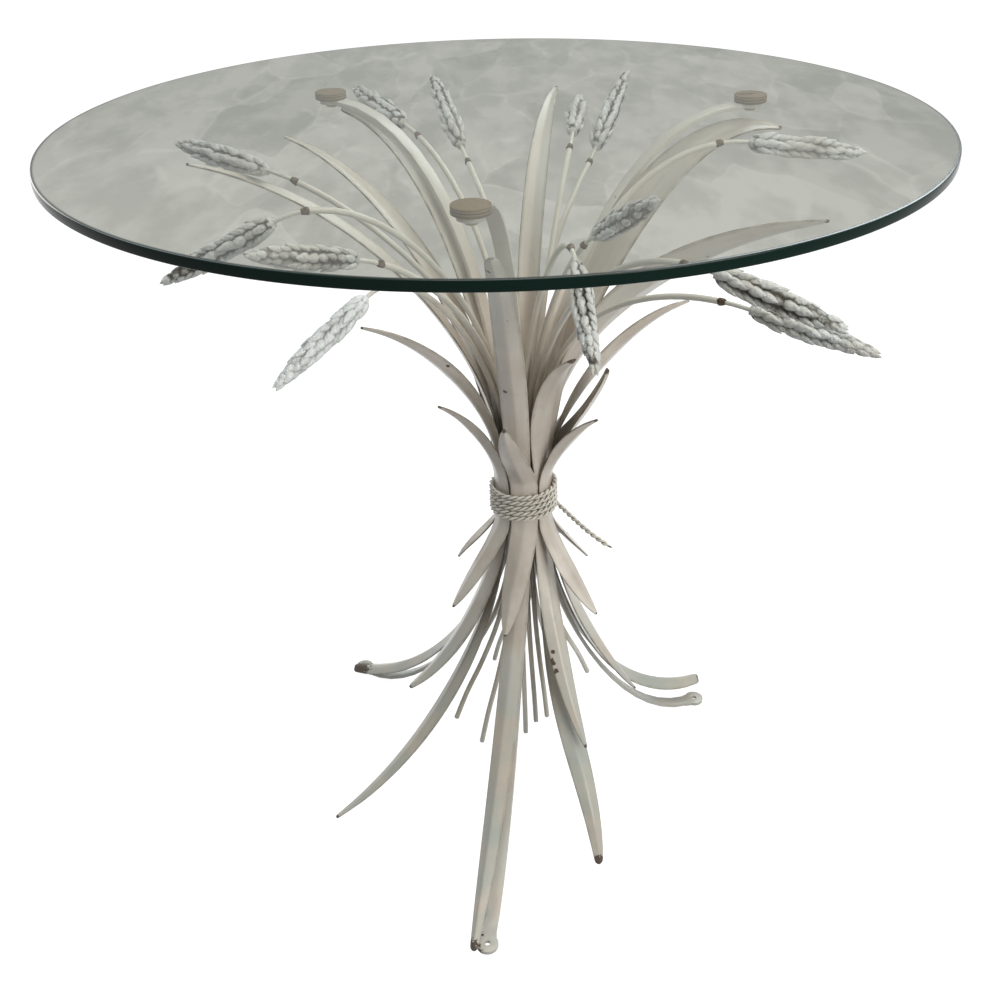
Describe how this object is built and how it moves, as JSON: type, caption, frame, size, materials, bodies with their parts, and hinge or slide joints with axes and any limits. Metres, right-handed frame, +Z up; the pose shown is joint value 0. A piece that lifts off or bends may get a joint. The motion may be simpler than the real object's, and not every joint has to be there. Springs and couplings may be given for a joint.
{
  "type": "coffee table",
  "caption": "Round clear glass coffee table on a painted steel wheat sheaf base with creased leaves, stalks and grain ears bound at the waist with wire rope.",
  "frame": {"origin": "on the floor under the centre of the round glass top", "axes": "+Z up, out of the glass; +Y away from the front leg; +X to the right seen from the front"},
  "size_m": [0.5499, 0.55, 0.54],
  "materials": {
    "paint": "worn antique white enamel with a satin sheen",
    "glass": "clear float glass with a dark green polished edge",
    "pad": "matt tan",
    "screw": "dull plated"
  },
  "bodies": {
    "sheaf": {"glass_pads": "pad", "pad_screws": "screw", "core_post": "paint", "binding_rope": "paint", "front_bar": "paint", "right_bar": "paint", "left_bar": "paint", "front_leaf": "paint", "front_right_leaf": "paint", "back_right_leaf": "paint", "inner_right_leaf": "paint", "left_leaf": "paint", "broad_left_leaf": "paint", "front_short_leaf": "paint", "right_short_leaf": "paint", "cupped_leaf": "paint", "back_short_leaf": "paint", "back_left_leaf": "paint", "left_short_leaf": "paint", "broad_right_leaf": "paint", "right_leaf": "paint", "back_leaf": "paint", "long_left_leaf": "paint", "stalk_1": "paint", "stalk_2": "paint", "stalk_3": "paint", "stalk_4": "paint", "stalk_5": "paint", "stalk_6": "paint", "stalk_7": "paint", "stalk_8": "paint", "stalk_9": "paint", "stalk_10": "paint", "stalk_11": "paint", "stalk_12": "paint", "stalk_13": "paint", "ear_1": "paint", "ear_2": "paint", "ear_3": "paint", "ear_4": "paint", "ear_5": "paint", "ear_6": "paint", "ear_7": "paint", "ear_8": "paint", "ear_9": "paint", "ear_10": "paint", "ear_11": "paint", "ear_12": "paint", "ear_13": "paint"},
    "glass": {"glass_top": "glass"}
  },
  "joints": [
    {"name": "glass_lift", "type": "slide", "parent": "sheaf", "child": "glass", "axis": [0, 0, 1], "range_m": [0, 0.06]}
  ]
}
